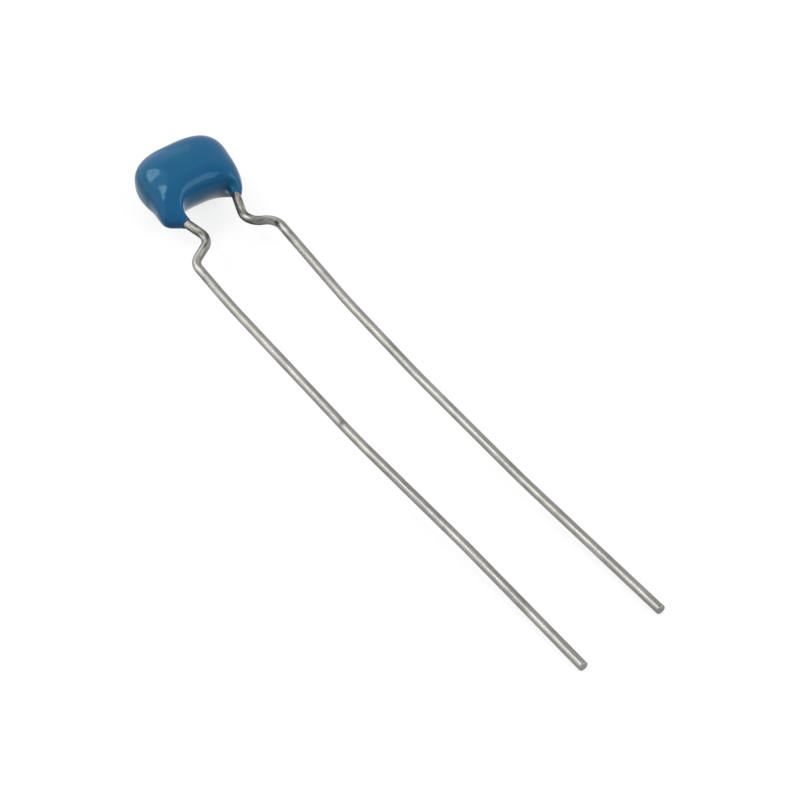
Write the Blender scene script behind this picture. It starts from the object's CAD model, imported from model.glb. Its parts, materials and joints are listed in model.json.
import json
import math

import bpy
import numpy as np
from mathutils import Matrix, Vector, noise


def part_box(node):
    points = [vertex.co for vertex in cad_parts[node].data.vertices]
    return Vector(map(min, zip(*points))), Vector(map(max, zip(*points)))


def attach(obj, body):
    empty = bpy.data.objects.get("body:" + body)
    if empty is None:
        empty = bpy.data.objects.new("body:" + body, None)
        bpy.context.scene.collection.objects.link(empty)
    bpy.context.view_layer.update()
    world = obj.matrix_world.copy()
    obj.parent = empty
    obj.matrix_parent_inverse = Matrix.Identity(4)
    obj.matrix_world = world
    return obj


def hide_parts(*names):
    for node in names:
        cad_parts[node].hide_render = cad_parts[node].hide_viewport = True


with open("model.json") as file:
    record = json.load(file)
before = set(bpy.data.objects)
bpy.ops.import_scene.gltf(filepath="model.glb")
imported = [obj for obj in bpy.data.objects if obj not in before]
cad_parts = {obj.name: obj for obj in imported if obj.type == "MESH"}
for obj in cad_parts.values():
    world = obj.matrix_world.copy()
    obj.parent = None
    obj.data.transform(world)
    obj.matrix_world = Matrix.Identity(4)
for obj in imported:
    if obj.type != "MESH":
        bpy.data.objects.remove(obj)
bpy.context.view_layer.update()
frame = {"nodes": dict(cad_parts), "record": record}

# Lengths are in millimetres unless a name ends in _M, and angles are written in degrees. The
# coat and the wires are first drawn flat: the wires run toward -Y in the plane z = 0, and the
# chip is at +Y. set_down then tilts them on to the floor, as the solids are.
MM = 0.001
CHIP_MIDDLE = (0.0, 6.05, 0.0)
CHIP_PLACE_M = np.mean(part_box("ceramic_block"), axis=0)
# the drawing is tilted as far as a wire's end points down, seen along X
WIRE_END_WAY = frame["record"]["mounts"][0]["axis"]
REST_TILT = math.atan2(-WIRE_END_WAY[2], -WIRE_END_WAY[1])


def tilted(points):
    """Flat drawing points turned about X to the part's tilt."""
    p = np.asarray(points, float)
    c, s = math.cos(REST_TILT), math.sin(REST_TILT)
    return np.stack([p[..., 0], p[..., 1] * c - p[..., 2] * s,
                     p[..., 1] * s + p[..., 2] * c], -1)


def set_down(points):
    """Flat drawing points to metres in the part's frame, by the place of the chip."""
    return CHIP_PLACE_M + (tilted(points) - tilted(CHIP_MIDDLE)) * MM


def placed(name, shape):
    """A new object at the origin that shows a mesh or a curve."""
    shape.name = name
    piece = bpy.data.objects.new(name, shape)
    bpy.context.scene.collection.objects.link(piece)
    return piece


# ---------------------------------------------------------------- camera

VIEW_TURN = math.radians(-35.0)         # from the wire ends' side, toward -X
VIEW_RISE = math.radians(47.3)          # above the plane of the wires
VIEW_ZERO = np.array([0.05, 0.0, 0.0])  # the drawing point that the three lengths start from
VIEW_DISTANCE = 145.0
VIEW_ASIDE = 8.17                       # slide to the picture's right
VIEW_UP = -8.37                         # slide toward the picture's top
SENSOR_WIDTH = 36.0
LENS_WIDTHS = 2746.9 / 800              # focal length, in picture widths
NEAR_CLIP_M = 0.01


def make_camera():
    """A camera placed by the flat drawing and tilted with it."""
    back = np.array([math.sin(VIEW_TURN) * math.cos(VIEW_RISE),
                     -math.cos(VIEW_TURN) * math.cos(VIEW_RISE), math.sin(VIEW_RISE)])
    right = np.array([math.cos(VIEW_TURN), math.sin(VIEW_TURN), 0.0])
    up = np.cross(back, right)
    centre = VIEW_ZERO + VIEW_ASIDE * right + VIEW_UP * up + VIEW_DISTANCE * back
    tilt = Matrix.Rotation(REST_TILT, 3, "X")
    axes = tilt @ Matrix((right, up, back)).transposed()
    data = bpy.data.cameras.new("camera")
    data.sensor_width = SENSOR_WIDTH
    data.lens = LENS_WIDTHS * SENSOR_WIDTH
    data.clip_start = NEAR_CLIP_M
    camera = bpy.data.objects.new("camera", data)
    camera.matrix_world = Matrix.Translation(Vector(set_down(centre))) @ axes.to_4x4()
    bpy.context.scene.collection.objects.link(camera)
    bpy.context.scene.camera = camera


# ---------------------------------------------------------------- node helpers

def link(tree, source, target):
    tree.links.new(source, target)


def feed(tree, socket, value):
    """Links another node's output to a socket, or sets a plain value on it."""
    if isinstance(value, bpy.types.NodeSocket):
        link(tree, value, socket)
    else:
        socket.default_value = value


def node(tree, kind, **inputs):
    """A node with its inputs fed by name, with _ for a space."""
    made = tree.nodes.new(kind)
    for name, value in inputs.items():
        feed(tree, made.inputs[name.replace("_", " ")], value)
    return made


def worked_out(tree, kind, operation, values):
    """The outputs of a maths node, fed with its values in their order."""
    made = tree.nodes.new(kind)
    made.operation = operation
    for socket, value in zip(made.inputs, values):
        feed(tree, socket, value)
    return made.outputs


def maths(tree, operation, *values):
    return worked_out(tree, "ShaderNodeMath", operation, values)["Value"]


def vector_maths(tree, operation, *values, output="Vector"):
    return worked_out(tree, "ShaderNodeVectorMath", operation, values)[output]


def scaled(tree, vector, factor):
    """The vector times a factor."""
    made = tree.nodes.new("ShaderNodeVectorMath")
    made.operation = "SCALE"
    link(tree, vector, made.inputs[0])
    feed(tree, made.inputs["Scale"], factor)
    return made.outputs["Vector"]


def ramp(tree, factor, stops):
    """A colour ramp from (position, colour) stops."""
    made = tree.nodes.new("ShaderNodeValToRGB")
    elements = made.color_ramp.elements
    while len(elements) < len(stops):
        elements.new(0.5)
    for element, (position, colour) in zip(elements, stops):
        element.position = position
        element.color = (*colour, 1.0)
    link(tree, factor, made.inputs["Fac"])
    return made.outputs["Color"]


def span(tree, value, low, high, start=0.0, end=1.0):
    """Runs from low to high while the value runs from start to end, and stays there."""
    return node(tree, "ShaderNodeMapRange", Value=value, From_Min=start, From_Max=end,
                To_Min=low, To_Max=high).outputs["Result"]


def attribute(tree, name):
    """The outputs of a value that the mesh keeps under a name."""
    made = tree.nodes.new("ShaderNodeAttribute")
    made.attribute_name = name
    return made.outputs


def spot_mm(tree):
    """The place on the part, in millimetres."""
    return scaled(tree, tree.nodes.new("ShaderNodeTexCoord").outputs["Object"], 1 / MM)


def grain(tree, vector, scale, detail, roughness=0.5):
    """Cloudy noise from 0 to 1, with its middle near 0.5."""
    return node(tree, "ShaderNodeTexNoise", Vector=vector, Scale=scale, Detail=detail,
                Roughness=roughness).outputs["Fac"]


def bump(tree, height, depth):
    """A normal roughened by a height, whose full range is depth deep."""
    return node(tree, "ShaderNodeBump", Height=height, Strength=1.0,
                Distance=depth * MM).outputs["Normal"]


def seen_white(tree):
    """1 for the rays that show the background as white: camera, gloss and glass."""
    rays = tree.nodes.new("ShaderNodeLightPath").outputs
    return maths(tree, "MAXIMUM", rays["Is Camera Ray"],
                 maths(tree, "MAXIMUM", rays["Is Glossy Ray"], rays["Is Transmission Ray"]))


# ---------------------------------------------------------------- materials

def finish_of(name):
    """A new material with a Principled shader: the material, its tree and the shader."""
    material = bpy.data.materials.new(name)
    material.use_nodes = True
    tree = material.node_tree
    return material, tree, tree.nodes["Principled BSDF"]


EPOXY_BLUES = [(0.30, (0.0100, 0.094, 0.234)), (0.70, (0.0120, 0.109, 0.216))]
EPOXY_GLOSS_TINT = (0.5, 0.88, 1.0, 1)


def dipped_epoxy():
    """Glossy blue dip, cloudy in colour and gloss, with a slight orange peel."""
    material, tree, shader = finish_of("dipped_epoxy")
    spot = spot_mm(tree)
    cloud = grain(tree, spot, scale=0.35, detail=2.0)
    haze = grain(tree, spot, scale=0.8, detail=3.0)
    peel = grain(tree, spot, scale=2.2, detail=1.0)
    link(tree, ramp(tree, cloud, EPOXY_BLUES), shader.inputs["Base Color"])
    link(tree, span(tree, haze, low=0.10, high=0.18), shader.inputs["Roughness"])
    link(tree, bump(tree, peel, depth=0.01), shader.inputs["Normal"])
    shader.inputs["IOR"].default_value = 1.45
    shader.inputs["Specular IOR Level"].default_value = 0.2
    shader.inputs["Specular Tint"].default_value = EPOXY_GLOSS_TINT
    return material


TIN_GREYS = [(0.0, (0.035, 0.034, 0.031)), (0.3, (0.155, 0.153, 0.142)),
             (0.7, (0.34, 0.335, 0.31))]
# how many grains of noise a millimetre along a wire and a radius across it, for its fine
# lines and for the marks of forming
LINE_GRAIN = (0.5, 9.0, 9.0)
RUB_GRAIN = (1.3, 1.5, 1.5)
LINE_SHARE = 0.6        # of the shade; the rest is larger patches
UNDER_FROM, UNDER_TO = -0.6, 0.35       # where a face starts to be underside, and is all so
# how dark the underside of a wire is, by its share of STAIN_RUN from the wire's head
STAIN_RUN = 12.0
STAIN = [(0.38, 0.95), (0.46, 0.5), (0.7, 0.42), (0.88, 0.065)]
# the run in which the marks of forming fade, and how strong they are before and after it
MARKS_FROM, MARKS_TO = 6.0, 10.0
MARKS_HELD, MARKS_FREE = 2.0, 0.3
MARKS_MIDDLE = 0.52     # the noise that leaves the metal neither lighter nor darker
PIT_STAIN = 0.5         # how dark a nick is at its middle


def tinned_wire():
    """Tinned wire with fine lines along it, marked and stained where it was formed. It reads
    what the wire's mesh keeps: drawn is the run and the place round the wire, under is how
    far a face looks down, and pit is 1 in the nick."""
    material, tree, shader = finish_of("tinned_wire")
    drawn = attribute(tree, "drawn")["Vector"]
    run = node(tree, "ShaderNodeSeparateXYZ", Vector=drawn).outputs["X"]
    lines = vector_maths(tree, "MULTIPLY", drawn, LINE_GRAIN)
    streaks = grain(tree, lines, scale=1.0, detail=3.0, roughness=0.6)
    patches = grain(tree, spot_mm(tree), scale=0.5, detail=2.0)
    shade = maths(tree, "ADD", maths(tree, "MULTIPLY", streaks, LINE_SHARE),
                  maths(tree, "MULTIPLY", patches, 1 - LINE_SHARE))
    low = span(tree, attribute(tree, "under")["Fac"], low=0.0, high=1.0, start=UNDER_FROM,
               end=UNDER_TO)
    stain = ramp(tree, maths(tree, "DIVIDE", run, STAIN_RUN),
                 [(share, (dark, dark, dark)) for share, dark in STAIN])
    shade = maths(tree, "SUBTRACT", shade, maths(tree, "MULTIPLY", low, stain))
    handled = span(tree, run, MARKS_HELD, MARKS_FREE, start=MARKS_FROM, end=MARKS_TO)
    rubbed = vector_maths(tree, "MULTIPLY", drawn, RUB_GRAIN)
    marks = maths(tree, "SUBTRACT", grain(tree, rubbed, scale=1.0, detail=1.0), MARKS_MIDDLE)
    shade = maths(tree, "ADD", shade, maths(tree, "MULTIPLY", marks, handled))
    pit = maths(tree, "MULTIPLY", attribute(tree, "pit")["Fac"], PIT_STAIN)
    shade = maths(tree, "SUBTRACT", shade, pit)
    link(tree, ramp(tree, shade, TIN_GREYS), shader.inputs["Base Color"])
    shader.inputs["Metallic"].default_value = 1.0
    link(tree, span(tree, streaks, low=0.27, high=0.44), shader.inputs["Roughness"])
    link(tree, bump(tree, streaks, depth=0.006), shader.inputs["Normal"])
    return material


CERAMIC_TANS = [(0.35, (0.40, 0.30, 0.17)), (0.65, (0.52, 0.40, 0.25))]


def fired_ceramic():
    """Matt tan ceramic with fine pores."""
    material, tree, shader = finish_of("fired_ceramic")
    spot = spot_mm(tree)
    cloud = grain(tree, spot, scale=6.0, detail=4.0)
    pores = grain(tree, spot, scale=25.0, detail=2.0)
    link(tree, ramp(tree, cloud, CERAMIC_TANS), shader.inputs["Base Color"])
    shader.inputs["Roughness"].default_value = 0.75
    link(tree, bump(tree, pores, depth=0.004), shader.inputs["Normal"])
    return material


METAL_HAZE = 0.08       # how far a dull metal's roughness strays from its middle value


def dull_metal(name, dark, light, roughness, fineness):
    """A metal with cloudy colour and gloss; a higher fineness makes the clouds smaller."""
    material, tree, shader = finish_of(name)
    spot = spot_mm(tree)
    colour = ramp(tree, grain(tree, spot, fineness, detail=3.0), [(0.35, dark), (0.65, light)])
    haze = grain(tree, spot, fineness * 2, detail=2.0)
    pores = grain(tree, spot, fineness * 3, detail=2.0)
    link(tree, colour, shader.inputs["Base Color"])
    shader.inputs["Metallic"].default_value = 1.0
    link(tree, span(tree, haze, roughness - METAL_HAZE, roughness + METAL_HAZE),
         shader.inputs["Roughness"])
    link(tree, bump(tree, pores, depth=0.003), shader.inputs["Normal"])
    return material


# ---------------------------------------------------------------- wires

WIRE_R = 0.25
WIRE_X = 1.978          # how far each wire's head is to the side of the chip's middle
HEAD_Y = 6.9
LEFT_END_Y = -32.5      # the level of each cut end
RIGHT_END_Y = -31.95
SWEEP_R = 1.5           # bend beside the chip
BEND_R = 0.95           # bends of the kinks
SET_R = 60.0            # slight set bends in the long runs
# each wire as (run, turn, bend radius), from its head to its last bend
LEFT_PATH = [(2.8, 12, SWEEP_R), (1.98, -68, BEND_R), (0.835, 54, BEND_R),
             (1.92, 2.4, SET_R), (8.85, 2.3, SET_R), (6.85, -1.3, SET_R)]
RIGHT_PATH = [(2.2, -19, SWEEP_R), (2.31, 83, BEND_R), (0.155, -67, BEND_R),
              (5.285, 2.4, SET_R), (4.35, 1.7, SET_R), (6.85, 1.6, SET_R)]
# the mark in each wire: its place, width and depth
LEFT_NICK = ((-3.17, -13.79, 0.19), 0.12, 0.04)
RIGHT_NICK = ((2.14, 0.09, 0.16), 0.13, 0.05)
WAVINESS = 0.008        # height of the small waves along a wire
WAVES_A_MM = 1.1
CUT_EDGE = 0.045        # rounding of the cut end
CUT_RINGS = 6
RUN_STEP = 0.12         # usual step from ring to ring
BEND_STEP = 3.0         # largest turn from ring to ring
FEWEST_BEND_STEPS = 6
SECTION_SIDES = 40


def wire_route(path, side, end_y):
    """Centre line of a wire as rows of x, y and heading, down to its cut end; the heading
    turns from -Y to +X."""
    x, y, h = side * WIRE_X, HEAD_Y, 0.0
    rows = [(x, y, h)]

    def straight(run, x, y, h):
        steps = max(1, round(run / RUN_STEP))
        for k in range(1, steps + 1):
            s = run * k / steps
            rows.append((x + s * math.sin(h), y - s * math.cos(h), h))

    for run, turn, radius in path:
        straight(run, x, y, h)
        x, y = rows[-1][:2]
        turn_r = math.radians(turn)
        r = math.copysign(radius, turn)
        steps = max(FEWEST_BEND_STEPS, math.ceil(abs(turn) / BEND_STEP),
                    math.ceil(abs(turn_r) * radius / RUN_STEP))
        start = h
        for k in range(1, steps + 1):
            g = start + turn_r * k / steps
            rows.append((x + r * (math.cos(start) - math.cos(g)),
                         y + r * (math.sin(start) - math.sin(g)), g))
        x, y, h = rows[-1]
    straight((y - end_y) / math.cos(h), x, y, h)
    return np.array(rows)


def with_cut_end(route):
    """Adds close rings that round the cut end, and gives the radius of each ring."""
    body = route[:-1]
    x, y, h = route[-1]
    rings, radii = [], []
    for k in range(CUT_RINGS):
        a = math.pi / 2 * k / (CUT_RINGS - 1)
        back = CUT_EDGE * (1 - math.sin(a))
        rings.append((x - back * math.sin(h), y + back * math.cos(h), h))
        radii.append(WIRE_R - CUT_EDGE * (1 - math.cos(a)))
    points = np.vstack([body, rings])
    return points, np.array([WIRE_R] * len(body) + radii)


def captured(tree, geometry, name, value):
    """The geometry with a value frozen on it, and that value for later nodes."""
    made = tree.nodes.new("GeometryNodeCaptureAttribute")
    made.capture_items.new("FLOAT", name)
    link(tree, geometry, made.inputs["Geometry"])
    link(tree, value, made.inputs[name])
    return made.outputs["Geometry"], made.outputs[name]


def keep(tree, geometry, name, kind, value):
    """Keeps a value on the mesh under the name that the finish reads."""
    made = tree.nodes.new("GeometryNodeStoreNamedAttribute")
    made.data_type = kind
    made.inputs["Name"].default_value = name
    link(tree, geometry, made.inputs["Geometry"])
    link(tree, value, made.inputs["Value"])
    return made.outputs["Geometry"]


def wire_tree():
    """Sweeps a round section along a path, adds small waves and one nick, and keeps what the
    tinned_wire finish reads."""
    tree = bpy.data.node_groups.new("drawn_wire", "GeometryNodeTree")
    sockets = tree.interface
    sockets.new_socket("Path", in_out="INPUT", socket_type="NodeSocketGeometry")
    for name, kind in (("Radius", "Float"), ("Waviness", "Float"), ("Nick", "Vector"),
                       ("Nick width", "Float"), ("Nick depth", "Float"),
                       ("Finish", "Material")):
        sockets.new_socket(name, in_out="INPUT", socket_type="NodeSocket" + kind)
    sockets.new_socket("Wire", in_out="OUTPUT", socket_type="NodeSocketGeometry")
    given = tree.nodes.new("NodeGroupInput").outputs

    along = tree.nodes.new("GeometryNodeSplineParameter").outputs["Length"]
    path, run = captured(tree, given["Path"], "run", along)
    circle = node(tree, "GeometryNodeCurvePrimitiveCircle", Resolution=SECTION_SIDES,
                  Radius=given["Radius"]).outputs["Curve"]
    around = tree.nodes.new("GeometryNodeSplineParameter").outputs["Factor"]
    section, turn = captured(tree, circle, "turn", around)
    thickness = tree.nodes.new("GeometryNodeInputRadius").outputs["Radius"]
    mesh = node(tree, "GeometryNodeCurveToMesh", Curve=path, Profile_Curve=section,
                Scale=thickness, Fill_Caps=True).outputs["Mesh"]

    angle = maths(tree, "MULTIPLY", turn, 2 * math.pi)
    drawn = node(tree, "ShaderNodeCombineXYZ", X=maths(tree, "MULTIPLY", run, 1 / MM),
                 Y=maths(tree, "COSINE", angle), Z=maths(tree, "SINE", angle))
    mesh = keep(tree, mesh, "drawn", "FLOAT_VECTOR", drawn.outputs["Vector"])
    normal = tree.nodes.new("GeometryNodeInputNormal").outputs["Normal"]
    up = node(tree, "ShaderNodeSeparateXYZ", Vector=normal).outputs["Z"]
    mesh = keep(tree, mesh, "under", "FLOAT", maths(tree, "MULTIPLY", up, -1.0))

    place = tree.nodes.new("GeometryNodeInputPosition").outputs["Position"]
    wave = grain(tree, scaled(tree, place, 1 / MM), scale=WAVES_A_MM, detail=1.0)
    swell = maths(tree, "MULTIPLY", maths(tree, "SUBTRACT", wave, 0.5), given["Waviness"])
    away = vector_maths(tree, "DISTANCE", place, given["Nick"], output="Value")
    near = maths(tree, "POWER", maths(tree, "DIVIDE", away, given["Nick width"]), 2.0)
    pit = maths(tree, "EXPONENT", maths(tree, "MULTIPLY", near, -1.0))
    mesh = keep(tree, mesh, "pit", "FLOAT", pit)
    dent = maths(tree, "MULTIPLY", pit, given["Nick depth"])
    push = scaled(tree, normal, maths(tree, "SUBTRACT", swell, dent))
    shifted = node(tree, "GeometryNodeSetPosition", Geometry=mesh, Offset=push)
    smooth = node(tree, "GeometryNodeSetShadeSmooth", Geometry=shifted.outputs["Geometry"])
    real = node(tree, "GeometryNodeRealizeInstances", Geometry=smooth.outputs["Geometry"])
    dressed = node(tree, "GeometryNodeSetMaterial", Geometry=real.outputs["Geometry"],
                   Material=given["Finish"])
    end = tree.nodes.new("NodeGroupOutput")
    link(tree, dressed.outputs["Geometry"], end.inputs["Wire"])
    return tree


def bent_wire(tree, name, path, side, end_y, nick, finish):
    """A wire swept along its path by the tree, as a plain mesh."""
    route, radii = with_cut_end(wire_route(path, side, end_y))
    spots = set_down(np.column_stack([route[:, :2], np.zeros(len(route))]))
    curve = bpy.data.curves.new(name + "_path", "CURVE")
    curve.dimensions = "3D"
    spline = curve.splines.new("POLY")
    spline.points.add(len(spots) - 1)
    spline.points.foreach_set("co", np.column_stack([spots, np.ones(len(spots))]).ravel())
    spline.points.foreach_set("radius", radii / WIRE_R)
    drawing = placed(name + "_path", curve)
    sweep = drawing.modifiers.new("sweep", "NODES")
    sweep.node_group = tree
    nick_at, nick_width, nick_depth = nick
    values = {"Radius": WIRE_R * MM, "Waviness": WAVINESS * MM,
              "Nick": set_down(nick_at).tolist(), "Nick width": nick_width * MM,
              "Nick depth": nick_depth * MM, "Finish": finish}
    for item in tree.interface.items_tree:
        if item.in_out == "INPUT" and item.name in values:
            sweep[item.identifier] = values[item.name]
    depsgraph = bpy.context.evaluated_depsgraph_get()
    mesh = bpy.data.meshes.new_from_object(drawing.evaluated_get(depsgraph),
                                           depsgraph=depsgraph)
    bpy.data.objects.remove(drawing)
    return placed(name, mesh)


# ---------------------------------------------------------------- coat

# the pillow that the coat starts from: its middle in X and Y, and half its size
COAT_MIDDLE = np.array([0.15, 5.5])
COAT_HALF = np.array([2.6, 2.5, 1.55])
OUTLINE_POWER = 3.0     # 2 is an oval, and more is squarer
SECTION_POWER = 2.7
FLARE = 0.15            # share that it gains in width from its middle to its top
SWELL = 0.16            # and in thickness
FOOT_THIN = 0.2         # share of its thickness that the foot loses
FOOT_FROM = 0.28        # where the foot starts below the middle, in half heights
FOOT_SPAN = 0.6         # and how much further down it has its full effect
SHARE_LIMITS = (0.5, 1.5)   # keeps the width and thickness sound beyond the coat
LEAST_GAUGE = 1e-9
# swelling of the foot round each wire: size, place round the outline, reach and sharpness
LEFT_LOBE = (0.87, 221, 34, 6)
RIGHT_LOBE = (0.15, 315, 20, 1.5)
LOBE_SINK = 0.3         # how far the left swelling hangs down, for each unit that it stands out
LOBE_PASSES = 4         # times that the swellings are worked out, each from the last shift

# the arch between the wires: its middle in X, half its width and the level of its top
ARCH_MIDDLE = 0.12
ARCH_HALF = 1.8
ARCH_TOP = 4.12
ARCH_DROP = 1.6         # from the arch's top to where its sides run straight
ARCH_POWER = 3.4
WALL_FRONT = 0.55       # the level where the arch's wall stands out most
WALL_UPPER = 0.735      # how fast the wall curves back above and below that level
WALL_LOWER = 0.255
WALL_SIDE = -0.15       # how much the sides curve with it
RIM_ROUND = 0.3
GAUGE_MM = 1.6          # turns a gauge, which is 1 on a surface, into about millimetres

COLLAR_LIP = 0.285      # radius at the lower edge of a collar
COLLAR_FADE = 1.6       # 1 thins a collar evenly, and more thins it sooner
COLLAR_EDGE = 0.05      # rounding of the lower edge
COLLAR_START = -0.6     # where a collar starts, inside the coat, and its rounding there
COLLAR_START_ROUND = 0.2
COLLAR_BLEND = 0.28     # rounding between the coat's body and a collar

# a shallow dimple at the upper left of the face
DIMPLE = np.array([-1.90, 5.85, 1.25])
DIMPLE_R = 0.36
DIMPLE_DEPTH = 0.07
UNEVEN = 0.012          # height and number a millimetre of the dip's slight waves
UNEVEN_A_MM = 0.9

GRID = 0.05             # spacing of the coat's mesh, and the box that it is looked for in
GRID_LOW = (-3.3, 1.9, -1.9)
GRID_HIGH = (3.4, 8.3, 1.9)
EVENING = 0.6           # share of the way that a point moves to the middle of its neighbours
EVENING_PASSES = 5
SLOPE_STEP = 0.004
LEAST_SLOPE = 1e-6


def smooth_min(a, b, k):
    """The lesser of two values, rounded over where they differ by less than k."""
    h = np.clip(0.5 + 0.5 * (b - a) / k, 0, 1)
    return b + (a - b) * h - k * h * (1 - h)


def smooth_max(a, b, k):
    """The greater of two values, rounded in the same way."""
    return -smooth_min(-a, -b, k)


def foot_share(ys):
    """0 over the chip, rising to 1 at the foot of the coat."""
    s = np.clip((-FOOT_FROM - ys) / FOOT_SPAN, 0, 1)
    return s * s * (3 - 2 * s)


def pillow_gauge(x, y, z):
    """How far out a point lies, with 1 on the pillow's surface; its place round the outline;
    and how near it is to the outline's own level."""
    ys = (y - COAT_MIDDLE[1]) / COAT_HALF[1]
    wide = np.clip(1 + FLARE * ys, *SHARE_LIMITS)
    thick = np.clip(1 + SWELL * ys - FOOT_THIN * foot_share(ys), *SHARE_LIMITS)
    xs = (x - COAT_MIDDLE[0]) / (COAT_HALF[0] * wide)
    zs = z / (COAT_HALF[2] * thick)
    ring = (np.abs(xs) ** OUTLINE_POWER + np.abs(ys) ** OUTLINE_POWER) ** (1 / OUTLINE_POWER)
    turn = np.degrees(np.arctan2(np.sign(ys) * np.abs(ys) ** (OUTLINE_POWER / 2),
                                 np.sign(xs) * np.abs(xs) ** (OUTLINE_POWER / 2))) % 360
    gauge = (ring ** SECTION_POWER + np.abs(zs) ** SECTION_POWER) ** (1 / SECTION_POWER)
    level = (ring / np.maximum(gauge, LEAST_GAUGE)) ** (SECTION_POWER / 2)
    return gauge, turn, level


def lobe(turn, level, size, place, reach, sharpness):
    """How far a swelling stands out at a place round the outline."""
    return size * np.exp(-((turn - place) / reach) ** 2) * level ** sharpness


def pillow(p):
    """Rough distance out of the pillow, with a swelling of its foot round each wire."""
    x, y, z = p.T
    left = right = 0.0
    for _ in range(LOBE_PASSES):
        gauge, turn, level = pillow_gauge(x + left, y + LOBE_SINK * left + right, z)
        left = lobe(turn, level, *LEFT_LOBE)
        right = lobe(turn, level, *RIGHT_LOBE)
    return (gauge - 1) * GAUGE_MM


def arch(p):
    """Rough distance into the arch between the two wires: a squared tunnel along Z that
    widens above and below the level where its wall stands out most."""
    x, y, z = p.T
    off = z - WALL_FRONT
    back = np.where(off > 0, WALL_UPPER, WALL_LOWER) * off ** 2
    up = np.clip(y - back - ARCH_TOP + ARCH_DROP, 0, None) / ARCH_DROP
    side = np.abs(x - ARCH_MIDDLE) / (ARCH_HALF + WALL_SIDE * back)
    return (1 - (side ** ARCH_POWER + up ** ARCH_POWER) ** (1 / ARCH_POWER)) * GAUGE_MM


def collar_axis(path, side):
    """The place and direction of a wire at the end of its first bend, below the chip."""
    run, turn, radius = path[0]
    h = math.radians(turn)
    r = math.copysign(radius, turn)
    start = np.array([side * WIRE_X + r * (1 - math.cos(h)),
                      HEAD_Y - run - r * math.sin(h), 0.0])
    return start, np.array([math.sin(h), -math.cos(h), 0.0])


# the coat round each wire: its axis, how far it creeps down and its radius at its root
COLLARS = [(collar_axis(LEFT_PATH, -1), 0.85, 0.46), (collar_axis(RIGHT_PATH, 1), 0.95, 0.42)]


def collar(p, axis, creep, root):
    """Distance out of the coat that creeps down a wire and thins toward its edge."""
    start, way = axis
    q = p - start
    s = q @ way
    away = np.linalg.norm(q - s[:, None] * way, axis=1)
    fade = np.clip(1 - np.clip(s, 0, None) / creep, 0, 1) ** COLLAR_FADE
    radius = COLLAR_LIP + (root - COLLAR_LIP) * fade
    shell = smooth_max(away - radius, s - creep, COLLAR_EDGE)
    return smooth_max(shell, COLLAR_START - s, COLLAR_START_ROUND)


def coat_field(p):
    """Rough distance out of the whole coat."""
    body = smooth_max(pillow(p), arch(p), RIM_ROUND)
    for axis, creep, root in COLLARS:
        body = smooth_min(body, collar(p, axis, creep, root), COLLAR_BLEND)
    return body


def slope(field, p):
    """Gradient of a field by small steps."""
    out = np.empty_like(p)
    for k in range(3):
        step = np.zeros(3)
        step[k] = SLOPE_STEP
        out[:, k] = (field(p + step) - field(p - step)) / (2 * SLOPE_STEP)
    return out


def wrapped(field, low, high, step):
    """A closed mesh of four-sided faces on the zero level of a field: one point in each grid
    cell that the surface passes through, evened out and pulled on to the surface."""
    axes = [np.arange(a, b + step, step) for a, b in zip(low, high)]
    spots = np.stack(np.meshgrid(*axes, indexing="ij"), -1)
    inside = (field(spots.reshape(-1, 3)) < 0).reshape(spots.shape[:3])
    corners = sum(inside[i:i + inside.shape[0] - 1, j:j + inside.shape[1] - 1,
                         k:k + inside.shape[2] - 1].astype(int)
                  for i in (0, 1) for j in (0, 1) for k in (0, 1))
    cells = (corners > 0) & (corners < 8)
    number = np.full(cells.shape, -1)
    number[cells] = np.arange(cells.sum())
    points = spots[:-1, :-1, :-1][cells] + step / 2

    faces = []
    for axis in range(3):
        here = np.moveaxis(inside, axis, 0)[:-1, 1:-1, 1:-1]
        beyond = np.moveaxis(inside, axis, 0)[1:, 1:-1, 1:-1]
        n = np.moveaxis(number, axis, 0)
        ring = np.stack([n[:, :-1, :-1], n[:, 1:, :-1], n[:, 1:, 1:], n[:, :-1, 1:]], -1)
        for change, turned in ((here & ~beyond, False), (~here & beyond, True)):
            quad = ring[change]
            if turned != (axis == 1):
                quad = quad[:, ::-1]
            faces.append(quad)
    faces = np.vstack(faces)

    edges = np.vstack([faces[:, [k, (k + 1) % 4]] for k in range(4)])
    count = np.bincount(edges.ravel(), minlength=len(points))[:, None]
    for _ in range(EVENING_PASSES):
        total = np.zeros_like(points)
        np.add.at(total, edges[:, 0], points[edges[:, 1]])
        np.add.at(total, edges[:, 1], points[edges[:, 0]])
        points = (1 - EVENING) * points + EVENING * total / count
        g = slope(field, points)
        points -= g * (field(points) / np.maximum((g * g).sum(1), LEAST_SLOPE))[:, None]
    return points, faces


def dipped_coat(finish):
    """The coat as one closed mesh, with its slight waves and its dimple."""
    points, faces = wrapped(coat_field, GRID_LOW, GRID_HIGH, GRID)
    g = slope(coat_field, points)
    normals = g / np.linalg.norm(g, axis=1)[:, None]
    uneven = UNEVEN * np.array([noise.noise(Vector(p * UNEVEN_A_MM)) for p in points])
    away = ((points - DIMPLE) ** 2).sum(1) / (2 * DIMPLE_R ** 2)
    points = points + normals * (uneven - DIMPLE_DEPTH * np.exp(-away))[:, None]
    mesh = bpy.data.meshes.new("dipped_coat")
    mesh.from_pydata(set_down(points).tolist(), [], faces.tolist())
    mesh.polygons.foreach_set("use_smooth", [True] * len(mesh.polygons))
    mesh.materials.append(finish)
    mesh.update()
    return placed("dipped_coat", mesh)


# ---------------------------------------------------------------- pieces

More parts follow.
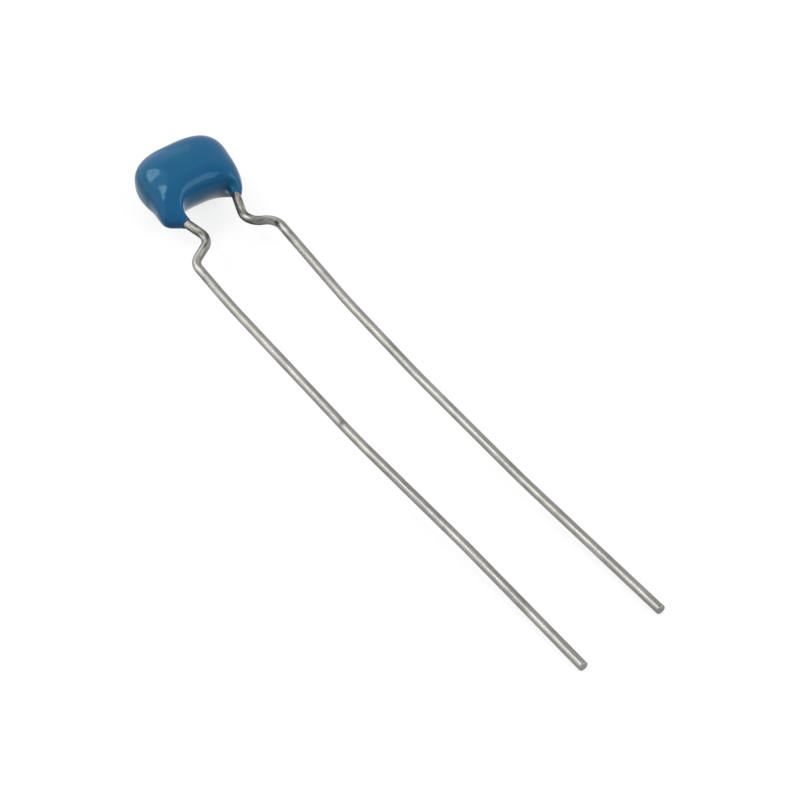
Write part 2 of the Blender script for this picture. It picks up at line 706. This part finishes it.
def make_outer_pieces():
    """The coat and the two wires, in place of their solids."""
    tin = tinned_wire()
    tree = wire_tree()
    left_wire = bent_wire(tree, "left_wire", LEFT_PATH, -1, LEFT_END_Y, LEFT_NICK, tin)
    right_wire = bent_wire(tree, "right_wire", RIGHT_PATH, 1, RIGHT_END_Y, RIGHT_NICK, tin)
    coat = dipped_coat(dipped_epoxy())
    for piece, solid, slot in ((coat, "epoxy_coat", "epoxy_coat"),
                               (left_wire, "lead_left", "lead_wire"),
                               (right_wire, "lead_right", "lead_wire")):
        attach(piece, "root")
        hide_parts(solid)


def finish_inner_solids():
    """Gives the pieces inside the coat, which stay as their solids, their materials."""
    silver = dull_metal("fired_silver", (0.50, 0.50, 0.48), (0.66, 0.66, 0.64),
                        roughness=0.45, fineness=8.0)
    solder = dull_metal("dull_solder", (0.36, 0.37, 0.38), (0.48, 0.49, 0.50),
                        roughness=0.40, fineness=5.0)
    nickel = dull_metal("sintered_nickel", (0.34, 0.32, 0.28), (0.45, 0.43, 0.38),
                        roughness=0.50, fineness=10.0)
    finishes = {"ceramic_block": fired_ceramic(), "termination_left": silver,
                "termination_right": silver, "solder_left": solder, "solder_right": solder}
    for name, solid in frame["nodes"].items():
        finish = nickel if name.startswith("electrode_") else finishes.get(name)
        if finish:
            for spot in solid.material_slots:
                spot.material = finish


# ---------------------------------------------------------------- stage and light

FLOOR_HALF_M = 1.5
FLOOR_GREY = 0.25
FLOOR_GLOW = 0.8        # what makes the grey floor white where it is seen
WORLD_FILL = 0.42       # the world's light on matt surfaces; it is seen as 1
LAMP_AWAY_M = 0.45
# each lamp: compass angle from +Y toward +X, height, spread across and up, and brightness
LAMPS = {"key": (-46, 52, (13, 15), 10.4), "fill": (142, 36, (50, 26), 4.2),
         "back": (-26, 30, (85, 58), 1.2)}


def floor_finish():
    """Pale matt floor that is seen as white away from shadows."""
    material, tree, shader = finish_of("pale_floor")
    shader.inputs["Base Color"].default_value = (FLOOR_GREY, FLOOR_GREY, FLOOR_GREY, 1)
    shader.inputs["Roughness"].default_value = 0.9
    shader.inputs["Specular IOR Level"].default_value = 0.0
    shader.inputs["Emission Color"].default_value = (1, 1, 1, 1)
    link(tree, maths(tree, "MULTIPLY", seen_white(tree), FLOOR_GLOW),
         shader.inputs["Emission Strength"])
    return material


def make_floor():
    """The floor that the part lies on."""
    mesh = bpy.data.meshes.new("floor")
    half = FLOOR_HALF_M
    mesh.from_pydata([(-half, -half, 0), (half, -half, 0), (half, half, 0),
                      (-half, half, 0)], [], [(0, 1, 2, 3)])
    mesh.materials.append(floor_finish())
    placed("floor", mesh)


def make_world():
    """A plain studio that lights the part softly and is seen as white."""
    world = bpy.data.worlds.new("studio")
    bpy.context.scene.world = world
    world.use_nodes = True
    tree = world.node_tree
    background = tree.nodes["Background"]
    background.inputs["Color"].default_value = (1, 1, 1, 1)
    link(tree, span(tree, seen_white(tree), WORLD_FILL, 1.0), background.inputs["Strength"])


def soft_lamp(name, turn, rise, spread, brightness):
    """A soft box that faces the part; the brightness is that of its face, where 1 is
    white."""
    turn, rise = math.radians(turn), math.radians(rise)
    way = Vector((math.sin(turn) * math.cos(rise), math.cos(turn) * math.cos(rise),
                  math.sin(rise)))
    data = bpy.data.lights.new(name, "AREA")
    data.shape = "RECTANGLE"
    data.size, data.size_y = (2 * LAMP_AWAY_M * math.tan(math.radians(s / 2))
                              for s in spread)
    data.energy = brightness * math.pi * data.size * data.size_y
    lamp = bpy.data.objects.new(name, data)
    lamp.location = way * LAMP_AWAY_M
    lamp.rotation_euler = way.to_track_quat("Z", "Y").to_euler()
    bpy.context.scene.collection.objects.link(lamp)


make_camera()
make_outer_pieces()
finish_inner_solids()
make_floor()
make_world()
for lamp_name, lamp_values in LAMPS.items():
    soft_lamp(lamp_name, *lamp_values)
bpy.context.scene.view_settings.view_transform = "Standard"
